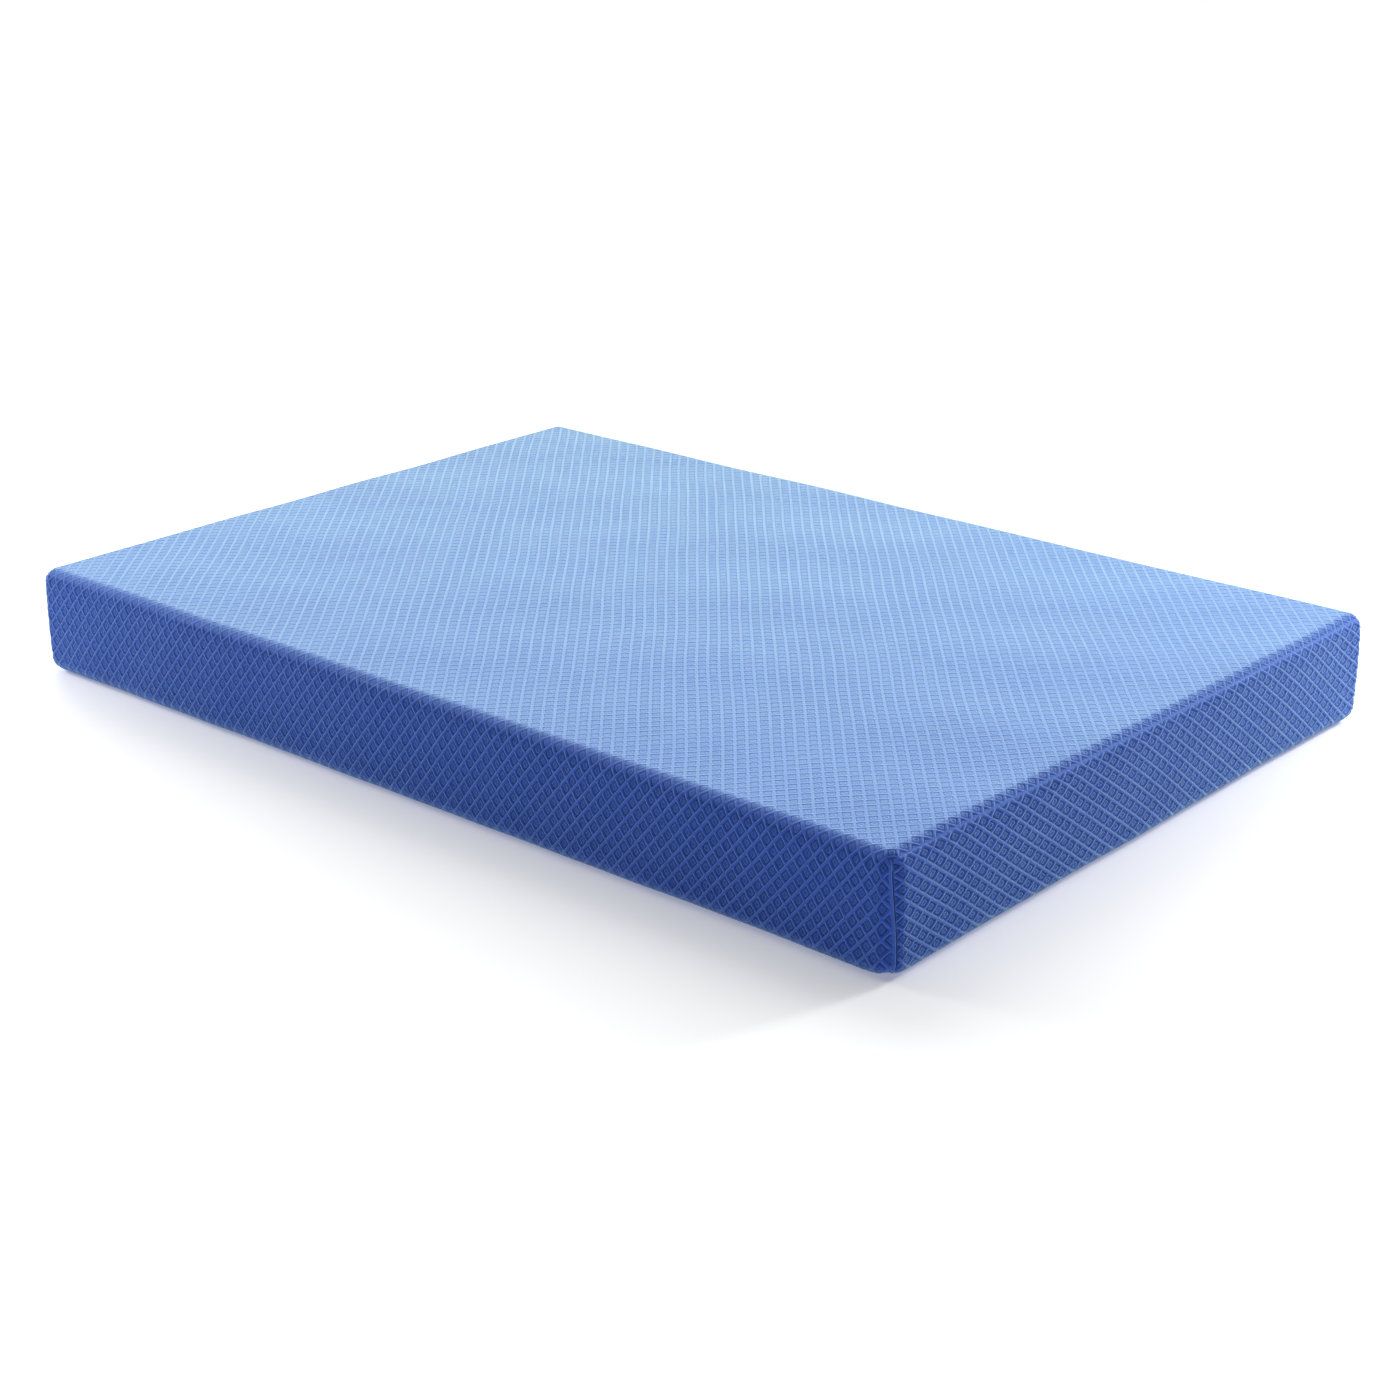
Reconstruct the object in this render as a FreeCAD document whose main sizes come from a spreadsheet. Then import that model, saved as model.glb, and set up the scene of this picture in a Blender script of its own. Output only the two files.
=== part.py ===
import FreeCAD, Part
import Sketcher
import os

# A foam mattress that lies flat on its underside. X runs across it, Y along it towards the head
# end, Z up. The origin is the middle of the underside. Millimetres.

SIZES = (
    # the whole mattress, as it stands
    ("overall_length", 1905.0),
    ("overall_width", 1340.0),
    ("overall_height", 183.0),
    ("corner_radius", 24.0),
    ("top_edge_radius", 16.0),
    ("under_edge_radius", 22.0),
    ("hem_reach", 42.0),
    ("hem_corner_radius", 6.0),
    # the knitted cover and the cloth underneath
    ("cover_thickness", 5.0),
    ("binding_width", 8.0),
    ("corner_seam_width", 2.6),
    ("corner_seam_depth", 1.8),
    ("corner_seam_proud", 0.2),
    ("corner_seam_end", 4.0),
    # the fire barrier sock and the foam inside it
    ("lining_gap", 0.3),
    ("barrier_thickness", 1.5),
    ("barrier_seam_height", 3.0),
    ("comfort_height", 50.0),
    ("glue_height", 0.4),
    # the zip along the head end
    ("zip_height", 40.0),
    ("zip_length", 1150.0),
    ("tape_width", 13.0),
    ("tape_thickness", 0.8),
    ("tape_depth", 2.5),
    ("coil_width", 3.0),
    ("coil_thickness", 2.2),
    ("coil_edge_radius", 0.8),
    ("mesh_gap", 1.8),
    ("stop_length", 3.0),
    ("slot_margin", 0.3),
    # its slider and pull tab
    ("slider_length", 12.0),
    ("slider_wall", 1.0),
    ("slider_front_wall", 1.2),
    ("slider_side_gap", 0.2),
    ("slider_tape_gap", 0.3),
    ("slider_park_gap", 3.5),
    ("bridge_length", 3.0),
    ("bridge_width", 1.4),
    ("bail_length", 9.0),
    ("bail_width", 2.4),
    ("bail_room", 2.0),
    ("bail_thickness", 1.0),
    ("pull_thickness", 1.4),
    ("pull_eye_length", 6.5),
    ("pull_eye_width", 5.8),
    ("pull_arm_width", 1.3),
    ("pull_length", 20.0),
    ("pull_width", 8.0),
    # the two sewn-in labels on the head end
    ("label_gap", 0.3),
    ("label_thickness", 0.4),
    ("label_top", 148.0),
    ("law_label_width", 100.0),
    ("law_label_height", 80.0),
    ("law_label_place", -330.0),
    ("care_label_width", 40.0),
    ("care_label_height", 56.0),
    ("care_label_place", -235.0),
)

CORNERS = (
    ("foot_left", -1, -1, 225),
    ("foot_right", 1, -1, 315),
    ("head_right", 1, 1, 45),
    ("head_left", -1, 1, 135),
)
MEASURED_FLAT = 1e-4

doc = FreeCAD.newDocument("foam_mattress")
sheet = doc.addObject("Spreadsheet::Sheet", "sizes")
for row, (alias, value) in enumerate(SIZES, start=1):
    sheet.set(f"A{row}", alias)
    sheet.set(f"B{row}", str(value))
    sheet.setAlias(f"B{row}", alias)
doc.recompute()

nodes = {}


def cell(expression):
    """Put the sheet's name in front of each alias in a formula."""
    words = []
    for word in expression.split():
        bare = word.strip("()")
        if bare in SIZE_NAMES:
            word = word.replace(bare, f"sizes.{bare}")
        words.append(word)
    return " ".join(words)


SIZE_NAMES = {alias for alias, value in SIZES}


def keep(name, thing):
    """Make an object one of the mattress's pieces, under the name that its file gets."""
    thing.Label = name
    nodes[name] = thing
    return thing


def bind(thing, **formulas):
    """Tie properties to formulas over the sheet. base_x stands for Placement.Base.x."""
    for key, formula in formulas.items():
        path = key.replace("base_", ".Placement.Base.") if key.startswith("base_") else key
        thing.setExpression(path, cell(formula))
    return thing


def box(name, across, along, up, x, y, z):
    """A block from its sizes and its lowest corner, all of them formulas."""
    block = doc.addObject("Part::Box", name)
    return bind(block, Length=across, Width=along, Height=up, base_x=x, base_y=y, base_z=z)


def cut(name, base, tool):
    piece = doc.addObject("Part::Cut", name)
    piece.Base = base
    piece.Tool = tool
    return piece


def fuse(name, pieces):
    piece = doc.addObject("Part::MultiFuse", name)
    piece.Shapes = pieces
    piece.Refine = True
    return piece


def edges_where(shape, chosen):
    return [f"Edge{index}" for index, edge in enumerate(shape.Edges, start=1) if chosen(edge)]


def is_upright(edge):
    return edge.BoundBox.ZLength > MEASURED_FLAT


def is_level(edge, height):
    low, high = edge.BoundBox.ZMin, edge.BoundBox.ZMax
    return abs(low - height) < MEASURED_FLAT and abs(high - height) < MEASURED_FLAT


def round_edges(body, base, name, chosen, radius):
    """Round the chosen edges of a body's last feature."""
    doc.recompute()
    fillet = body.newObject("PartDesign::Fillet", name)
    fillet.Base = (base, edges_where(base.Shape, chosen))
    bind(fillet, Radius=radius)
    doc.recompute()
    return fillet


def centred_rectangle(body, name, across, along):
    """A rectangle about the body's origin, with its two sides bound to the sheet."""
    sketch = body.newObject("Sketcher::SketchObject", name)
    level = [plane for plane in body.Origin.OriginFeatures if plane.Role == "XY_Plane"][0]
    sketch.AttachmentSupport = [(level, "")]
    sketch.MapMode = "FlatFace"
    points = [FreeCAD.Vector(x, y, 0) for x, y in ((-9, -9), (9, -9), (9, 9), (-9, 9))]
    for index, start in enumerate(points):
        sketch.addGeometry(Part.LineSegment(start, points[(index + 1) % 4]), False)
    starts, ends, origin_line, whole_point = 1, 2, -1, 1
    Constraint = Sketcher.Constraint
    for index in range(4):
        sketch.addConstraint(Constraint("Coincident", index, ends, (index + 1) % 4, starts))
        direction = "Vertical" if index % 2 else "Horizontal"
        sketch.addConstraint(Constraint(direction, index))
    sketch.addConstraint(Constraint("Symmetric", 0, starts, 2, starts, origin_line, whole_point))
    width = sketch.addConstraint(Constraint("DistanceX", 0, starts, 0, ends, 18.0))
    length = sketch.addConstraint(Constraint("DistanceY", 1, starts, 1, ends, 18.0))
    sketch.renameConstraint(width, "across")
    sketch.renameConstraint(length, "along")
    sketch.setExpression("Constraints.across", cell(across))
    sketch.setExpression("Constraints.along", cell(along))
    return sketch


def rounded_block(name, across, along, up, floor, corner, top_edge=None, under_edge=None):
    """A centred block with rounded upright corners, and rounded edges above and below if asked."""
    body = doc.addObject("PartDesign::Body", name)
    sketch = centred_rectangle(body, f"{name}_outline", across, along)
    doc.recompute()
    pad = body.newObject("PartDesign::Pad", f"{name}_pad")
    pad.Profile = sketch
    bind(pad, Length=up)
    last = round_edges(body, pad, f"{name}_corners", is_upright, corner)
    if top_edge:
        top = last.Shape.BoundBox.ZMax
        last = round_edges(body, last, f"{name}_top", lambda edge: is_level(edge, top), top_edge)
    if under_edge:
        last = round_edges(body, last, f"{name}_under", lambda edge: is_level(edge, 0.0), under_edge)
    bind(body, base_z=floor)
    doc.recompute()
    return body


# Where things are, as formulas. The head wall is the one that faces +Y.
HEAD_WALL = "overall_length / 2"
TAPE_FRONT = f"{HEAD_WALL} - tape_depth"
TAPE_BACK = f"{TAPE_FRONT} - tape_thickness"
COIL_FRONT = f"{TAPE_FRONT} + coil_thickness"
INSET = "2 * cover_thickness"
SOCK_INSET = f"{INSET} + 2 * lining_gap"
FOAM_INSET = f"{SOCK_INSET} + 2 * barrier_thickness + 2 * lining_gap"
FOAM_FLOOR = "cover_thickness + barrier_thickness"
FOAM_TOP = "overall_height - cover_thickness - barrier_thickness - 2 * lining_gap"
GLUE_FLOOR = f"{FOAM_TOP} - comfort_height - glue_height"


# --- foam core -----------------------------------------------------------------------------

FOAM_PLAN = {
    "across": f"overall_width - ( {FOAM_INSET} )",
    "along": f"overall_length - ( {FOAM_INSET} )",
    "corner": "corner_radius - cover_thickness - barrier_thickness - 2 * lining_gap",
}

keep("support_foam_core", rounded_block(
    "support_core", **FOAM_PLAN,
    up=f"{GLUE_FLOOR} - ( {FOAM_FLOOR} )",
    floor=FOAM_FLOOR,
    under_edge="under_edge_radius - cover_thickness - barrier_thickness - 2 * lining_gap",
))

keep("foam_glue_film", rounded_block("glue_film", **FOAM_PLAN, up="glue_height", floor=GLUE_FLOOR))

keep("comfort_foam_layer", rounded_block(
    "comfort_layer", **FOAM_PLAN,
    up="comfort_height",
    floor=f"{FOAM_TOP} - comfort_height",
    top_edge="top_edge_radius - cover_thickness - barrier_thickness - 2 * lining_gap",
))


# --- fire barrier sock, sewn shut across both ends --------------------------------------------

sock_outside = rounded_block(
    "sock_outside",
    across=f"overall_width - ( {SOCK_INSET} )",
    along=f"overall_length - ( {SOCK_INSET} )",
    up="overall_height - 2 * cover_thickness - lining_gap",
    floor="cover_thickness",
    corner="corner_radius - cover_thickness - lining_gap",
    top_edge="top_edge_radius - cover_thickness - lining_gap",
    under_edge="under_edge_radius - cover_thickness - lining_gap",
)
sock_inside = rounded_block(
    "sock_inside",
    across=f"overall_width - ( {SOCK_INSET} ) - 2 * barrier_thickness",
    along=f"overall_length - ( {SOCK_INSET} ) - 2 * barrier_thickness",
    up="overall_height - 2 * cover_thickness - lining_gap - 2 * barrier_thickness",
    floor="cover_thickness + barrier_thickness",
    corner="corner_radius - cover_thickness - lining_gap - barrier_thickness",
    top_edge="top_edge_radius - cover_thickness - lining_gap - barrier_thickness",
    under_edge="under_edge_radius - cover_thickness - lining_gap - barrier_thickness",
)


def sock_seam(name, y):
    """The sewn ridge that shuts one end of the sock, half way up."""
    return box(
        name,
        "overall_width - 4 * corner_radius", "barrier_thickness", "barrier_seam_height",
        "2 * corner_radius - overall_width / 2", y, "overall_height / 2 - barrier_seam_height / 2",
    )


sock_head_seam = keep("fire_barrier_head_seam", sock_seam(
    "sock_head_seam", f"{HEAD_WALL} - cover_thickness - lining_gap - barrier_thickness"))
sock_foot_seam = keep("fire_barrier_foot_seam", sock_seam(
    "sock_foot_seam", "cover_thickness + lining_gap - overall_length / 2"))
sock_ends = fuse("sock_ends", [sock_head_seam, sock_foot_seam])
keep("fire_barrier_sock", cut("sock", cut("sock_skin", sock_outside, sock_inside), sock_ends))


# --- cover: one knitted panel over the top, down all four sides and a little way underneath, with
# a plain panel bound into the opening that it leaves ---------------------------------------------

cover_outside = rounded_block(
    "cover_outside",
    across="overall_width", along="overall_length", up="overall_height", floor="0",
    corner="corner_radius", top_edge="top_edge_radius", under_edge="under_edge_radius",
)
cover_inside = rounded_block(
    "cover_inside",
    across=f"overall_width - ( {INSET} )",
    along=f"overall_length - ( {INSET} )",
    up="overall_height - 2 * cover_thickness",
    floor="cover_thickness",
    corner="corner_radius - cover_thickness",
    top_edge="top_edge_radius - cover_thickness",
    under_edge="under_edge_radius - cover_thickness",
)
UNDER_PLAN = {
    "across": "overall_width - 2 * hem_reach",
    "along": "overall_length - 2 * hem_reach",
    "corner": "hem_corner_radius",
}
PANEL_PLAN = {
    "across": "overall_width - 2 * hem_reach - 2 * binding_width",
    "along": "overall_length - 2 * hem_reach - 2 * binding_width",
    "corner": "hem_corner_radius",
}
under_opening = rounded_block("under_opening", **UNDER_PLAN, up="cover_thickness", floor="0")
panel = keep("cover_bottom_panel", rounded_block(
    "bottom_panel", **PANEL_PLAN, up="cover_thickness", floor="0"))
keep("bottom_seam_binding", cut("binding", under_opening, panel))


def corner_seam(place, side, end, angle):
    """The upright seam in one corner, let into the cover's rounded corner."""
    seam = doc.addObject("Part::Box", f"seam_{place}")
    seam.Placement.Rotation = FreeCAD.Rotation(FreeCAD.Vector(0, 0, 1), angle)
    inner = "( corner_radius + corner_seam_proud - corner_seam_depth )"
    bind(
        seam,
        Length="corner_seam_depth",
        Width="corner_seam_width",
        Height="overall_height - under_edge_radius - top_edge_radius - 2 * corner_seam_end",
        base_x=f"{side} * ( overall_width / 2 - corner_radius ) + cos({angle}) * {inner}"
               f" + sin({angle}) * corner_seam_width / 2",
        base_y=f"{end} * ( overall_length / 2 - corner_radius ) + sin({angle}) * {inner}"
               f" - cos({angle}) * corner_seam_width / 2",
        base_z="under_edge_radius + corner_seam_end",
    )
    return keep(f"corner_seam_{place}", seam)


seams = fuse("corner_seams", [corner_seam(*corner) for corner in CORNERS])

# The zip shows through a slot in the head wall, and its tapes are sewn into a recess behind it.
SLOT_HALF = (
    "( mesh_gap / 2 + coil_width + slider_side_gap + slider_wall + slot_margin )"
)
TAPE_HALF = "( mesh_gap / 2 + tape_width )"
zip_slot = box(
    "zip_slot",
    "zip_length", "cover_thickness", f"2 * {SLOT_HALF}",
    "0 - zip_length / 2", f"{HEAD_WALL} - cover_thickness", f"zip_height - {SLOT_HALF}",
)
tape_recess = box(
    "tape_recess",
    "zip_length", "cover_thickness - tape_depth", f"2 * {TAPE_HALF}",
    "0 - zip_length / 2", f"{HEAD_WALL} - cover_thickness", f"zip_height - {TAPE_HALF}",
)
cover_openings = fuse("cover_openings", [under_opening, seams, zip_slot, tape_recess])
keep("cover_top_and_sides", cut(
    "cover", cut("cover_skin", cover_outside, cover_inside), cover_openings))


# --- zip: two tapes, two coils and the stops at both ends ---------------------------------------

COIL_RUN = "zip_length - 2 * stop_length"


def zip_tape(name, z):
    return keep(name, box(
        f"{name}_strip", "zip_length", "tape_thickness", "tape_width",
        "0 - zip_length / 2", TAPE_BACK, z,
    ))


def zip_coil(name, z):
    """One half of the chain, with its two outer edges rounded."""
    bar = box(
        f"{name}_bar", COIL_RUN, "coil_thickness", "coil_width",
        f"0 - ( {COIL_RUN} ) / 2", TAPE_FRONT, z,
    )
    doc.recompute()
    front = bar.Shape.BoundBox.YMax
    rounded = doc.addObject("Part::Fillet", f"{name}_rounded")
    rounded.Base = bar
    radius = sheet.coil_edge_radius
    rounded.Edges = [
        (index, radius, radius)
        for index, edge in enumerate(bar.Shape.Edges, start=1)
        if edge.BoundBox.XLength > 1.0 and abs(edge.BoundBox.YMin - front) < MEASURED_FLAT
    ]
    return keep(name, rounded)


def zip_stop(name, x):
    return keep(name, box(
        f"{name}_clamp", "stop_length", "coil_thickness", "mesh_gap + 2 * coil_width",
        x, TAPE_FRONT, "zip_height - mesh_gap / 2 - coil_width",
    ))


zip_tape("zip_tape_upper", "zip_height + mesh_gap / 2")
zip_tape("zip_tape_lower", "zip_height - mesh_gap / 2 - tape_width")
zip_coil("zip_coil_upper", "zip_height + mesh_gap / 2")
zip_coil("zip_coil_lower", "zip_height - mesh_gap / 2 - coil_width")
zip_stop("zip_stop_left", "0 - zip_length / 2")
zip_stop("zip_stop_right", "zip_length / 2 - stop_length")


# --- slider: two plates joined by a bridge between the coils, with a bail for the pull ----------

SLIDER_X = "( slider_park_gap + slider_length / 2 - zip_length / 2 )"
SLIDER_HALF = "( mesh_gap / 2 + coil_width + slider_side_gap + slider_wall )"
PLATE_BACK = f"{COIL_FRONT} + slider_side_gap"
PLATE_FRONT = f"{PLATE_BACK} + slider_front_wall"
BACK_PLATE = f"{TAPE_BACK} - slider_tape_gap"
SIDE_FLANGE = f"{TAPE_FRONT} + slider_tape_gap"


def slider_block(name, length, low_x, back, front, half):
    """A block of the slider, centred on the zip's line and reaching from back to front."""
    return box(
        f"slider_{name}", length, f"( {front} ) - ( {back} )", f"2 * {half}",
        low_x, back, f"zip_height - {half}",
    )


def slider_flange(name, z):
    return box(
        f"slider_{name}", "slider_length", f"( {PLATE_BACK} ) - ( {SIDE_FLANGE} )", "slider_wall",
        f"{SLIDER_X} - slider_length / 2", SIDE_FLANGE, z,
    )


SLIDER_LOW = f"{SLIDER_X} - slider_length / 2"
keep("zip_slider", fuse("slider", [
    slider_block("front_plate", "slider_length", SLIDER_LOW, PLATE_BACK, PLATE_FRONT, SLIDER_HALF),
    slider_block("back_plate", "slider_length", SLIDER_LOW,
                 f"{BACK_PLATE} - slider_wall", BACK_PLATE, SLIDER_HALF),
    slider_block("bridge", "bridge_length", SLIDER_LOW, BACK_PLATE, PLATE_BACK,
                 "( bridge_width / 2 )"),
    slider_flange("upper_flange", f"zip_height + {SLIDER_HALF} - slider_wall"),
    slider_flange("lower_flange", f"zip_height - {SLIDER_HALF}"),
    slider_block("bail_rear_leg", "bail_thickness", f"{SLIDER_X} - bail_length / 2",
                 PLATE_FRONT, f"{PLATE_FRONT} + bail_room", "( bail_width / 2 )"),
    slider_block("bail_front_leg", "bail_thickness",
                 f"{SLIDER_X} + bail_length / 2 - bail_thickness",
                 PLATE_FRONT, f"{PLATE_FRONT} + bail_room", "( bail_width / 2 )"),
    slider_block("bail_bar", "bail_length", f"{SLIDER_X} - bail_length / 2",
                 f"{PLATE_FRONT} + bail_room", f"{PLATE_FRONT} + bail_room + bail_thickness",
                 "( bail_width / 2 )"),
]))


# --- pull tab: its eye bar turns under the bail ------------------------------------------------

PULL_BACK = f"{PLATE_FRONT} + bail_room / 2 - pull_thickness / 2"
pull_bar = doc.addObject("Part::Cylinder", "pull_bar")
bind(
    pull_bar,
    Radius="pull_thickness / 2",
    Height="pull_eye_width",
    base_x=SLIDER_X,
    base_y=f"{PLATE_FRONT} + bail_room / 2",
    base_z="zip_height - pull_eye_width / 2",
)
pull_arms = [
    box(f"pull_{name}_arm", "pull_eye_length", "pull_thickness", "pull_arm_width",
        f"{SLIDER_X} - pull_eye_length", PULL_BACK, z)
    for name, z in (
        ("upper", "zip_height + pull_eye_width / 2 - pull_arm_width"),
        ("lower", "zip_height - pull_eye_width / 2"),
    )
]
pull_plate = box(
    "pull_plate", "pull_length - pull_eye_length - pull_width / 2", "pull_thickness", "pull_width",
    f"{SLIDER_X} - pull_length + pull_width / 2", PULL_BACK, "zip_height - pull_width / 2",
)
pull_end = doc.addObject("Part::Cylinder", "pull_end")
pull_end.Placement.Rotation = FreeCAD.Rotation(FreeCAD.Vector(1, 0, 0), -90)
bind(
    pull_end,
    Radius="pull_width / 2",
    Height="pull_thickness",
    base_x=f"{SLIDER_X} - pull_length + pull_width / 2",
    base_y=PULL_BACK,
    base_z="zip_height",
)
keep("zip_pull_tab", fuse("pull", [pull_bar, *pull_arms, pull_plate, pull_end]))


# --- labels: each hangs from its sewn upper edge ------------------------------------------------

for label in ("law_label", "care_label"):
    keep(label, box(
        f"{label}_cloth", f"{label}_width", "label_thickness", f"{label}_height",
        f"{label}_place - {label}_width / 2",
        f"{HEAD_WALL} + label_gap",
        f"label_top - {label}_height",
    ))


# --- check and write ---------------------------------------------------------------------------

doc.recompute()
for thing in doc.Objects:
    if "Invalid" in thing.State or "Error" in thing.State:
        raise RuntimeError(f"{thing.Label} failed: {thing.State}")
for name, thing in nodes.items():
    shape = thing.Shape
    if shape.isNull() or not shape.isValid() or len(shape.Solids) != 1:
        raise RuntimeError(f"{name} isn't one sound solid")

os.makedirs("parts", exist_ok=True)
for name, thing in nodes.items():
    thing.Shape.exportStep(f"parts/{name}.step")
    bounds = thing.Shape.BoundBox
    print(f"{name:24s} {bounds.XLength:8.1f} {bounds.YLength:8.1f} {bounds.ZLength:7.1f}"
          f"   z from {bounds.ZMin:6.1f}   {thing.Shape.Volume / 1000:10.1f} cm3")
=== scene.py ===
import bmesh
import bpy
import math
import numpy as np
from mathutils import Matrix, Vector


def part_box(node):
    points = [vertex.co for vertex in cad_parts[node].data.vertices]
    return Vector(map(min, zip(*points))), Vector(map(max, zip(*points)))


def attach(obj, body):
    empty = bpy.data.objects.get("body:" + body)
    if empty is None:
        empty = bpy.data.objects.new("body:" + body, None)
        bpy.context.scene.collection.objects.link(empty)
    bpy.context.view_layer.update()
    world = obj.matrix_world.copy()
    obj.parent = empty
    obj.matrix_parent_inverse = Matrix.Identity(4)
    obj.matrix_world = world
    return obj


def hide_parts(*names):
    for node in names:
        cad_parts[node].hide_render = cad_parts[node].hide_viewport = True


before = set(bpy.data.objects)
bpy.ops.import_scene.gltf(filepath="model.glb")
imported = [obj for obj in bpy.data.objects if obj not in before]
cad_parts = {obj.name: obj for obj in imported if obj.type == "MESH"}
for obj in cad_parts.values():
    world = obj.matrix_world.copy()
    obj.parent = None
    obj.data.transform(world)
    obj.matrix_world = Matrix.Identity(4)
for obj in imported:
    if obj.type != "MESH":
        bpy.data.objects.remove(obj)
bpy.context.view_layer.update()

# Metres. X runs across the mattress, Y along it towards the head end, Z up from its underside.
# The cover is one cloth: a "saddle" that runs down one long side, over the top and down the other,
# and a flap at each end, sewn to the saddle at the four corners.

COVER_LOW, COVER_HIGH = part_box("cover_top_and_sides")
HALF_X = (COVER_HIGH.x - COVER_LOW.x) / 2
HALF_Y = (COVER_HIGH.y - COVER_LOW.y) / 2
CROWN = 0.009          # how far the plump cover stands above the flat top it is cut to
HEIGHT = COVER_HIGH.z + CROWN
HEM_INSET = HALF_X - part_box("bottom_seam_binding")[1].x + 0.003   # the hem ends inside the binding
ZIP_HEIGHT = (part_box("zip_tape_upper")[0].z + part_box("zip_tape_lower")[1].z) / 2
ZIP_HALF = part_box("zip_tape_upper")[1].x
TAPE_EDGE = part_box("zip_tape_upper")[1].z - ZIP_HEIGHT

BULGE = 0.0030         # how far the sides stand out half way up, where the foam swells
EDGE = 0.026           # radius of the edges round the top
CORNER_RADIUS = 0.030  # of the upright corners, seen from above
ROLL_MID = 0.027       # radius of the roll under a side, half way along it
ROLL_CORNER = 0.022    # and close to a corner, where the seam pulls the cloth tight
ROLL_REACH = 0.080     # how far from a corner the tight roll reaches
CORNER_LIFT = 0.005    # how far the seam holds the very corner off the floor
LIFT_REACH = 0.024
LIFT_HEIGHT = 0.07     # the lift is gone at this height

# The quilt is a lattice of crossing bands. Each cell is a diamond, this wide and this high.
CELL_TOP = (0.0277, 0.0240)       # across and along, on the top
CELL_LONG_DROP = 0.0305           # down the long sides, where the cell is stretched
CELL_END = (0.0350, 0.0244)       # across and down, on the two ends
STEPS = 16                        # mesh steps in one cell
RELIEF_TOP = 0.0012               # how far the grooves lie below the bands on the top
RELIEF_SIDE = 0.0042              # and on the sides, where nothing presses the quilt flat
BAND_WIDTH = 0.150                # these are shares of the distance from band to band
BAND_FLATNESS = 4                 # how flat a band is across: 2 would be a bell
UNDER_WIDTH = 0.24                # where one band passes under the other, and how far it dips
UNDER_DIP = 0.22
RING_FROM_BAND = 0.315
RING_WIDTH = 0.075
RING_HEIGHT = 0.92
MIDDLE_WIDTH = 0.080
MIDDLE_HEIGHT = 0.75
SHEAR = 0.05                      # how far the quilt leans, as it never lies quite square
WANDER = 0.05                     # how far its lines wander, in cells
TOP_UNEVEN = 0.0007               # slow swells of the cloth, on the top and on the sides
SIDE_UNEVEN = 0.0012
SIDE_FADE = 0.008                 # the cloth counts as a side's after this drop from the top
RELIEF_FADE = 0.012               # and has a side's relief after this one
LOW_DROP, LOW_FADE = 0.150, 0.035  # further down it is pulled flatter round the lower edge
LOW_LOSS = 0.75                   # and loses this share of its relief

JOINT_WIDTH = 0.005               # where the top runs into an end, the two patterns meet
JOINT_LEVEL = 0.6

SEAM_DRIFT = 0.009                # how far a corner seam wanders round its corner lower down
DRIFT_DROP = 0.16                 # over this drop
DRIFT_REACH = 0.10                # and how far along the side the cloth moves with it
LONG_EASE = (0.0030, 0.0030)      # beside a seam the quilt is flat, then rises over a distance
END_EASE = (0.0008, 0.0016)
GROOVE_DEPTH = 0.0028
GROOVE_WIDTH = 0.0011
ALLOWANCE_FROM_SEAM = 0.0026      # the folded seam allowance stands up beside the groove
ALLOWANCE_WIDTH = 0.0013
ALLOWANCE_HEIGHT = 0.0009

LAYER_GAP = 0.0040                # how far the layers inside keep clear of the quilt's grooves

SLOT_HALF = 0.0054                # half the height of the opening that shows the zip
SLOT_DEPTH = 0.0050
TOPSTITCH = 0.0085                # the topstitching's distance from the middle of the zip
STITCH_DEPTH = 0.0006
TAPE_FLATNESS = 0.9               # how much of the relief is lost over the tapes
TAPE_FADE = 0.010

CLOTH_LAP = 0.003                 # how far the underside panel runs in under its binding

QUARTER = math.pi / 4
draw = np.random.default_rng(12)


def smooth(x):
    x = np.clip(x, 0.0, 1.0)
    return x * x * (3.0 - 2.0 * x)


def bell(x, width):
    return np.exp(-((x / width) ** 2))


def unit(rows):
    return rows / np.linalg.norm(rows, axis=-1, keepdims=True)


def stacked(*parts):
    """Points from their coordinates, each a grid or a row that fits a grid."""
    return np.stack(np.broadcast_arrays(*parts), -1)


def ripples(count, shortest, longest):
    """Slow waves with random directions, as rows of wave number, turn and phase."""
    length = draw.uniform(shortest, longest, count)
    turn = draw.uniform(0, 2 * math.pi, count)
    phase = draw.uniform(0, 2 * math.pi, count)
    return np.stack((2 * math.pi / length, turn, phase), 1)


def wave(rows, u, v):
    """A sum of ripples at u, v, mostly between -1 and 1."""
    total = 0.0
    for number, turn, phase in rows:
        total = total + np.sin(number * (u * math.cos(turn) + v * math.sin(turn)) + phase)
    return total / math.sqrt(len(rows))


TOP_SWELL = ripples(7, 0.22, 0.60)
SIDE_SWELL = ripples(7, 0.12, 0.45)
WANDER_ACROSS = ripples(6, 0.18, 0.55)
WANDER_ALONG = ripples(6, 0.18, 0.55)


# --- the mattress's form ------------------------------------


def reach_of(half):
    """How far the cloth goes from the middle to the line where the top turns into a side."""
    return half - EDGE + EDGE * QUARTER


def over_edge(cloth, half):
    """A place on the cloth as a place on the sharp-edged box that the round one comes from."""
    flat = half - EDGE
    turned = np.clip(np.abs(cloth) - flat, 0.0, EDGE * QUARTER)
    return np.sign(cloth) * (np.minimum(np.abs(cloth), flat) + EDGE * np.tan(turned / EDGE))


DROP_LENGTH = (
    EDGE * QUARTER + HEIGHT - EDGE - ROLL_MID + ROLL_MID * math.pi / 2 + HEM_INSET - ROLL_MID
)


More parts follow.
